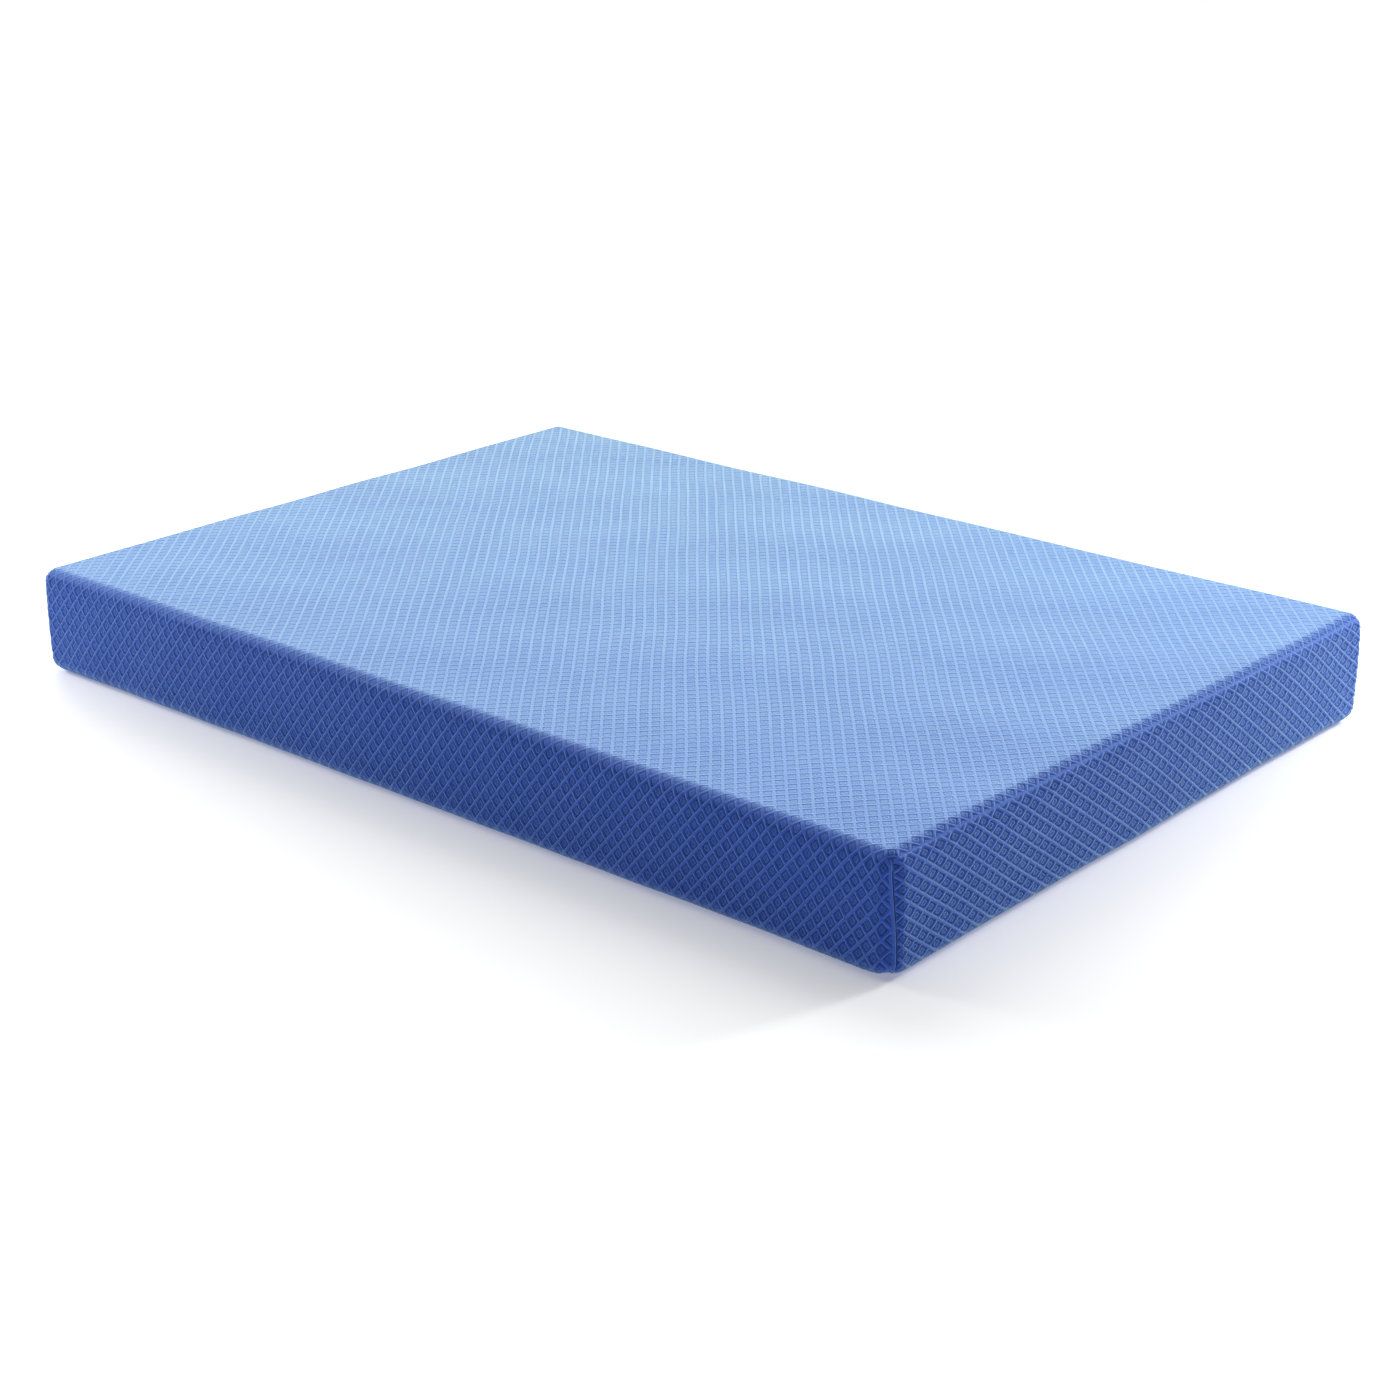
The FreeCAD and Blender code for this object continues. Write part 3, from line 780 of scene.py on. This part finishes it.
def make_layer(name, bottom, top, inset, low_edge, high_edge):
    """A layer inside the cover, which follows the cover's form at a distance."""
    edge = np.linspace(0, math.pi / 2, 5)
    between = np.linspace(bottom + low_edge, top - high_edge, 9)[1:-1]
    heights = np.concatenate((
        bottom + low_edge * (1 - np.cos(edge)), between, top - high_edge * (1 - np.sin(edge)),
    ))
    drawn = np.concatenate((
        low_edge * (1 - np.sin(edge)), np.zeros_like(between), high_edge * (1 - np.cos(edge)),
    ))
    clear = 0.004
    rings = []
    for z, pull in zip(heights, drawn):
        path, out = ring_path(HALF_X - inset, HALF_Y - inset, CORNER_RADIUS + clear, z, 0.020)
        from_sides = (HALF_X, HALF_Y) - np.abs(path[:, :2])
        roll = roll_at(from_sides.max(1) - from_sides.min(1)) + clear
        rise = np.clip(1 - (z - clear) / roll, 0.0, 1.0)
        tuck = roll * (1 - np.sqrt(1 - rise ** 2)) + pull
        tuck = tuck + BULGE * ((z - HEIGHT / 2) / (HEIGHT / 2)) ** 2
        rings.append(path - out * tuck[:, None])
    points = np.array(rings)
    count, around = points.shape[:2]
    index = np.arange(count * around).reshape(count, around)
    ring = np.concatenate((index, index[:, :1]), 1)
    quads = np.stack((ring[:-1, :-1], ring[:-1, 1:], ring[1:, 1:], ring[1:, :-1]), -1)
    middles = np.array(((0, 0, points[0, 0, 2]), (0, 0, points[-1, 0, 2])))
    low_middle, high_middle = count * around, count * around + 1
    triangles = [(low_middle, b, a) for a, b in zip(ring[0, :-1], ring[0, 1:])]
    triangles += [(high_middle, a, b) for a, b in zip(ring[-1, :-1], ring[-1, 1:])]
    return mesh_object(
        name, np.concatenate((points.reshape(-1, 3), middles)), quads.reshape(-1, 4), triangles
    )


# --- materials ----------------------------------------------

# the first of these colours, for the bottoms of the grooves, is painted shade: the relief attribute
# picks it where the quilt lies lowest
KNIT_GROOVE_SHADE = (0.005, 0.020, 0.15)
KNIT_MID = (0.042, 0.120, 0.61)
KNIT_HIGH = (0.043, 0.121, 0.62)
KNIT_SHEEN = 1.0
KNIT_SHEEN_TINT = (0.62, 0.92, 0.66)


def link(tree, source, target):
    tree.links.new(source, target)


def ramp(tree, value, stops):
    node = tree.nodes.new("ShaderNodeValToRGB")
    elements = node.color_ramp.elements
    while len(elements) < len(stops):
        elements.new(0.5)
    for element, (position, colour) in zip(elements, stops):
        element.position = position
        element.color = (*colour, 1)
    link(tree, value, node.inputs["Fac"])
    return node.outputs["Color"]


def noise(tree, place, scale, detail=2.0):
    node = tree.nodes.new("ShaderNodeTexNoise")
    node.inputs["Scale"].default_value = scale
    node.inputs["Detail"].default_value = detail
    link(tree, place, node.inputs["Vector"])
    return node.outputs["Fac"]


def bands(tree, place, scale, direction, distortion=0.0):
    node = tree.nodes.new("ShaderNodeTexWave")
    node.wave_type = "BANDS"
    node.bands_direction = direction
    node.inputs["Scale"].default_value = scale
    node.inputs["Distortion"].default_value = distortion
    link(tree, place, node.inputs["Vector"])
    return node.outputs["Fac"]


def combine(tree, operation, first, second):
    node = tree.nodes.new("ShaderNodeMath")
    node.operation = operation
    for socket, value in zip(node.inputs, (first, second)):
        if isinstance(value, (int, float)):
            socket.default_value = value
        else:
            link(tree, value, socket)
    return node.outputs[0]


def scaled(tree, value, share, base):
    """A share of a value, added to a base, which may be a value too."""
    return combine(tree, "ADD", combine(tree, "MULTIPLY", value, share), base)


def paint(tree, shader, value, stops):
    link(tree, ramp(tree, value, stops), shader.inputs["Base Color"])


def bump(tree, shader, height, distance, strength=1.0):
    node = tree.nodes.new("ShaderNodeBump")
    node.inputs["Distance"].default_value = distance
    node.inputs["Strength"].default_value = strength
    link(tree, height, node.inputs["Height"])
    link(tree, node.outputs["Normal"], shader.inputs["Normal"])


def new_material(name, roughness, specular=0.3):
    material = bpy.data.materials.new(name)
    material.use_nodes = True
    tree = material.node_tree
    shader = tree.nodes["Principled BSDF"]
    shader.inputs["Roughness"].default_value = roughness
    shader.inputs["Specular IOR Level"].default_value = specular
    place = tree.nodes.new("ShaderNodeTexCoord").outputs["Object"]
    return material, tree, shader, place


def tint(colour, share):
    return tuple(c * share for c in colour)


def knit_material():
    material, tree, shader, place = new_material("quilted_knit_blue", 0.8, 0.25)
    relief = tree.nodes.new("ShaderNodeAttribute")
    relief.attribute_name = "relief"
    loops = noise(tree, place, 620.0, 1.0)
    patches = noise(tree, place, 5.0, 3.0)
    # the bottoms of the grooves are painted darker, as painted shade, and the crests a hair lighter,
    # a faint painted highlight: the bands and rings are otherwise of one colour
    shade = scaled(tree, patches, 0.12, scaled(tree, loops, 0.15, relief.outputs["Fac"]))
    paint(tree, shader, shade, ((0.22, KNIT_GROOVE_SHADE), (0.60, KNIT_MID), (1.0, KNIT_HIGH)))
    shader.inputs["Sheen Weight"].default_value = KNIT_SHEEN
    shader.inputs["Sheen Roughness"].default_value = 0.45
    shader.inputs["Sheen Tint"].default_value = (*KNIT_SHEEN_TINT, 1)
    rows = bands(tree, place, 330.0, "Z", 1.5)
    bump(tree, shader, scaled(tree, rows, 0.4, loops), 0.0004, 0.7)
    return material


def weave_material(name, colour, scale, roughness=0.85, depth=0.0003, sheen=0.3, light=1.35):
    """Plain woven cloth: two crossing sets of threads, uneven in colour."""
    material, tree, shader, place = new_material(name, roughness, 0.25)
    warp, weft = (bands(tree, place, scale, way, 0.4) for way in ("X", "DIAGONAL"))
    threads = combine(tree, "ADD", warp, weft)
    uneven = noise(tree, place, 40.0, 4.0)
    paint(tree, shader, scaled(tree, threads, 0.3, uneven), (
        (0.3, tint(colour, 0.68)), (0.75, colour), (1.0, tint(colour, light)),
    ))
    link(tree, scaled(tree, uneven, 0.2, roughness - 0.1), shader.inputs["Roughness"])
    shader.inputs["Sheen Weight"].default_value = sheen
    bump(tree, shader, threads, depth, 0.6)
    return material


def foam_material(name, colour, scale):
    """Cut foam: small open cells of uneven size."""
    material, tree, shader, place = new_material(name, 0.95, 0.1)
    cells = tree.nodes.new("ShaderNodeTexVoronoi")
    cells.inputs["Scale"].default_value = scale
    link(tree, place, cells.inputs["Vector"])
    open_cells = cells.outputs["Distance"]
    uneven = noise(tree, place, 18.0, 4.0)
    paint(tree, shader, scaled(tree, open_cells, 0.5, uneven), (
        (0.3, tint(colour, 0.75)), (0.7, colour), (1.0, tint(colour, 1.08)),
    ))
    bump(tree, shader, open_cells, 0.0006, 0.6)
    return material


def metal_material():
    material, tree, shader, place = new_material("brushed_nickel", 0.35, 0.5)
    shader.inputs["Metallic"].default_value = 1.0
    grain = noise(tree, place, 900.0, 3.0)
    worn = noise(tree, place, 160.0, 4.0)
    paint(tree, shader, worn, ((0.3, (0.46, 0.46, 0.47)), (0.7, (0.66, 0.66, 0.67))))
    link(tree, scaled(tree, worn, 0.25, 0.22), shader.inputs["Roughness"])
    bump(tree, shader, grain, 0.00004, 0.5)
    return material


def nylon_material():
    material, tree, shader, place = new_material("nylon_coil_navy", 0.35, 0.5)
    uneven = noise(tree, place, 300.0, 2.0)
    paint(tree, shader, uneven, ((0.3, (0.020, 0.052, 0.17)), (0.7, (0.034, 0.080, 0.25))))
    link(tree, scaled(tree, uneven, 0.2, 0.28), shader.inputs["Roughness"])
    bump(tree, shader, uneven, 0.00003, 0.4)
    return material


def glue_material():
    material, tree, shader, place = new_material("foam_glue", 0.45, 0.4)
    beads = noise(tree, place, 60.0, 4.0)
    paint(tree, shader, beads, ((0.35, (0.52, 0.48, 0.34)), (0.7, (0.68, 0.63, 0.46))))
    bump(tree, shader, beads, 0.0004, 0.6)
    return material


# --- studio -------------------------------------------------

# strength, softness, compass direction from the X axis, and height, all angles in degrees
LIGHTS = (
    ("back_low_right", 1.5, 50, 15, 10),
    ("back_low_left", 2.3, 50, 70, 10),
    ("back", 1.9, 45, 48, 30),
    ("overhead", 0.9, 60, 0, 80),
    ("right", 0.30, 25, -24, 34),
)
# power, width, height, and place of a softbox aimed at the middle of the mattress
SOFTBOXES = (
    ("softbox_right", 50, 0.5, 0.4, (2.15, -1.65, 1.25)),
    ("softbox_left", 36, 0.8, 0.6, (-1.45, 2.5, 1.30)),
)

WORLD_COLOUR, WORLD_STRENGTH = (0.95, 0.97, 1.0, 1), 0.03
WHITE = (1, 1, 1, 1)
FLOOR_COLOUR, FLOOR_GLOW = (0.82, 0.82, 0.82, 1), 0.28
FLOOR_HALF, FLOOR_DROP = 60.0, 0.0005


def make_camera():
    """The camera, by its direction round the mattress, its height above it and its distance."""
    azimuth, elevation, roll = math.radians(-49.16), math.radians(20.92), math.radians(0.11)
    distance, aside, above = 4.584, 0.023, -0.013
    back = Vector((
        math.sin(azimuth) * math.cos(elevation),
        -math.cos(azimuth) * math.cos(elevation),
        math.sin(elevation),
    ))
    right = (-back).cross(Vector((0, 0, 1))).normalized()
    up = right.cross(-back)
    right, up = (
        math.cos(roll) * right + math.sin(roll) * up,
        -math.sin(roll) * right + math.cos(roll) * up,
    )
    data = bpy.data.cameras.new("camera")
    data.lens = 66.9
    data.sensor_width = 36.0
    data.clip_end = 100.0
    camera = add_object("camera", data)
    turn = Matrix((right, up, back)).transposed().to_4x4()
    camera.matrix_world = Matrix.Translation(back * distance + right * aside + up * above) @ turn
    bpy.context.scene.camera = camera


def make_floor():
    mesh = bpy.data.meshes.new("floor")
    around = ((-1, -1), (1, -1), (1, 1), (-1, 1))
    corners = [(x * FLOOR_HALF, y * FLOOR_HALF, 0) for x, y in around]
    mesh.from_pydata(corners, [], [(0, 1, 2, 3)])
    floor = add_object("floor", mesh)
    floor.location.z = -FLOOR_DROP
    material, _, shader, _ = new_material("floor_white", 1.0, 0.0)
    shader.inputs["Base Color"].default_value = FLOOR_COLOUR
    shader.inputs["Emission Color"].default_value = WHITE
    shader.inputs["Emission Strength"].default_value = FLOOR_GLOW
    mesh.materials.append(material)


def add_sun(name, energy, spread, towards):
    """A soft distant light, shining from the direction towards which it lies."""
    sun = bpy.data.lights.new(name, "SUN")
    sun.energy = energy
    sun.angle = math.radians(spread)
    lamp = add_object(name, sun)
    lamp.rotation_euler = Vector(towards).to_track_quat("Z", "Y").to_euler()


def make_lights():
    world = bpy.data.worlds.new("world")
    bpy.context.scene.world = world
    world.use_nodes = True
    nodes, links = world.node_tree.nodes, world.node_tree.links
    background = nodes["Background"]
    background.inputs["Color"].default_value = WORLD_COLOUR
    background.inputs["Strength"].default_value = WORLD_STRENGTH
    # what lies beyond the floor is seen as pale as the floor, and lights nothing
    beyond = nodes.new("ShaderNodeBackground")
    beyond.inputs["Color"].default_value = WHITE
    seen = nodes.new("ShaderNodeLightPath")
    mix = nodes.new("ShaderNodeMixShader")
    links.new(seen.outputs["Is Camera Ray"], mix.inputs["Fac"])
    links.new(background.outputs["Background"], mix.inputs[1])
    links.new(beyond.outputs["Background"], mix.inputs[2])
    links.new(mix.outputs["Shader"], nodes["World Output"].inputs["Surface"])
    for name, energy, spread, azimuth, elevation in LIGHTS:
        a, e = math.radians(azimuth), math.radians(elevation)
        towards = (math.cos(a) * math.cos(e), math.sin(a) * math.cos(e), math.sin(e))
        add_sun(name, energy, spread, towards)
    for name, power, width, height, place in SOFTBOXES:
        box = bpy.data.lights.new(name, "AREA")
        box.shape = "RECTANGLE"
        box.energy, box.size, box.size_y = power, width, height
        lamp = add_object(name, box)
        lamp.location = place
        lamp.rotation_euler = Vector(place).to_track_quat("Z", "Y").to_euler()


def finish_piece(piece, material, body, slot, *nodes):
    """Give a piece its material and its body, and hide the nodes that it stands for. The slot is not
    used.
    """
    piece.data.materials.clear()
    piece.data.materials.append(material)
    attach(piece, body)
    if nodes:
        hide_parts(*nodes)
    return piece


# --- the scene ----------------------------------------------

make_camera()
make_floor()
make_lights()
bpy.context.scene.view_settings.view_transform = "Standard"

cover, seams = make_cover()
finish_piece(cover, knit_material(), "mattress", "cover_knit", "cover_top_and_sides")

thread_cloth = weave_material("seam_thread_navy", (0.030, 0.068, 0.24), 900.0, depth=0.0001)
# the corner thread is a darker navy than the other thread: partly its own colour, partly painted
# shade for the bottom of the groove it lies in
corner_thread_shade_cloth = weave_material(
    "corner_thread_navy_painted_shade", (0.012, 0.030, 0.12), 900.0, depth=0.0001, sheen=0.0
)
for (end, side), line in seams.items():
    piece = make_corner_thread(f"corner_thread_{end}_{side}", line)
    finish_piece(piece, corner_thread_shade_cloth, "mattress", "seam_tape", f"corner_seam_{end}_{side}")

tape_cloth = weave_material("binding_twill_blue", (0.045, 0.10, 0.38), 420.0)
plain_cloth = weave_material("underside_plain_cloth", (0.40, 0.42, 0.46), 240.0, light=1.15)
binding, binding_thread, panel = make_underside()
finish_piece(binding, tape_cloth, "mattress", "seam_tape", "bottom_seam_binding")
finish_piece(binding_thread, thread_cloth, "mattress", "seam_tape")
finish_piece(panel, plain_cloth, "mattress", "underside_cloth", "cover_bottom_panel")

zip_cloth = weave_material("zip_tape_twill_navy", (0.032, 0.075, 0.27), 700.0)
nylon = nylon_material()
metal = metal_material()
for level, coil_side, phase in (("upper", -1, 0.0), ("lower", 1, math.pi)):
    node = f"zip_tape_{level}"
    tape = make_zip_tape(f"zip_tape_{level}_woven", node, coil_side)
    finish_piece(tape, zip_cloth, "mattress", "zip_tape", node)
    node = f"zip_coil_{level}"
    coil = make_coil(f"zip_coil_{level}_spiral", node, phase)
    finish_piece(coil, nylon, "mattress", "zip_coil", node)
for side in ("left", "right"):
    node = f"zip_stop_{side}"
    stop = rounded_copy(node, f"zip_stop_{side}_clamp", 0.0004)
    finish_piece(stop, metal, "mattress", "zip_metal", node)
slider = rounded_copy("zip_slider", "zip_slider_casting", 0.00035)
finish_piece(slider, metal, "zip_slider", "zip_metal", "zip_slider")
pull = rounded_copy("zip_pull_tab", "zip_pull_tab_casting", 0.00035)
finish_piece(pull, metal, "zip_pull", "zip_metal", "zip_pull_tab")

label_cloth = weave_material(
    "label_satin_white", (0.50, 0.50, 0.485), 800.0, 0.6, 0.00012, light=1.12
)
for name, curl, phase in (("law_label", 0.0026, 0.3), ("care_label", 0.0020, 2.1)):
    label, label_thread = make_label(f"{name}_cloth", name, curl, phase)
    finish_piece(label, label_cloth, name, "label_cloth", name)
    finish_piece(label_thread, thread_cloth, name, "seam_tape")
    low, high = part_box(name)

foam_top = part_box("comfort_foam_layer")
foam_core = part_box("support_foam_core")
sock_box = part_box("fire_barrier_sock")
foam_inset = HALF_X - foam_core[1].x + LAYER_GAP
glued_edge = 0.0003
core = make_layer(
    "support_foam_block", foam_core[0].z, foam_core[1].z, foam_inset, 0.012, glued_edge
)
finish_piece(core, foam_material("support_foam_white", (0.70, 0.70, 0.68), 900.0),
             "mattress", "support_foam", "support_foam_core")
comfort = make_layer(
    "comfort_foam_slab", foam_top[0].z, foam_top[1].z, foam_inset, glued_edge, 0.018
)
finish_piece(comfort, foam_material("memory_foam_cream", (0.74, 0.75, 0.64), 1300.0),
             "mattress", "memory_foam", "comfort_foam_layer")
glue = make_layer(
    "glue_film_sprayed", foam_core[1].z, foam_top[0].z, foam_inset + 0.002, 0.0001, 0.0001
)
finish_piece(glue, glue_material(), "mattress", "glue", "foam_glue_film")
sock = make_layer("fire_barrier_sock_knit", sock_box[0].z, sock_box[1].z - 0.002,
                  HALF_X - sock_box[1].x + LAYER_GAP, 0.012, 0.019)
sock_cloth = weave_material("barrier_knit_white", (0.66, 0.66, 0.63), 300.0)
finish_piece(sock, sock_cloth, "mattress", "barrier_knit", "fire_barrier_sock")
for end in ("head", "foot"):
    node = f"fire_barrier_{end}_seam"
    low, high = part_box(node)
    y = (low.y + high.y) / 2
    y -= math.copysign(LAYER_GAP, y)
    centres = stacked(np.arange(low.x, high.x, 0.004), y, (low.z + high.z) / 2)
    seam = stitches(f"fire_barrier_{end}_overlock", centres, (0.8, 0, 0.6), (0, 1, 0),
                    0.0035, 0.0008, min(high.y - low.y, 0.001))
    finish_piece(seam, sock_cloth, "mattress", "barrier_thread", node)
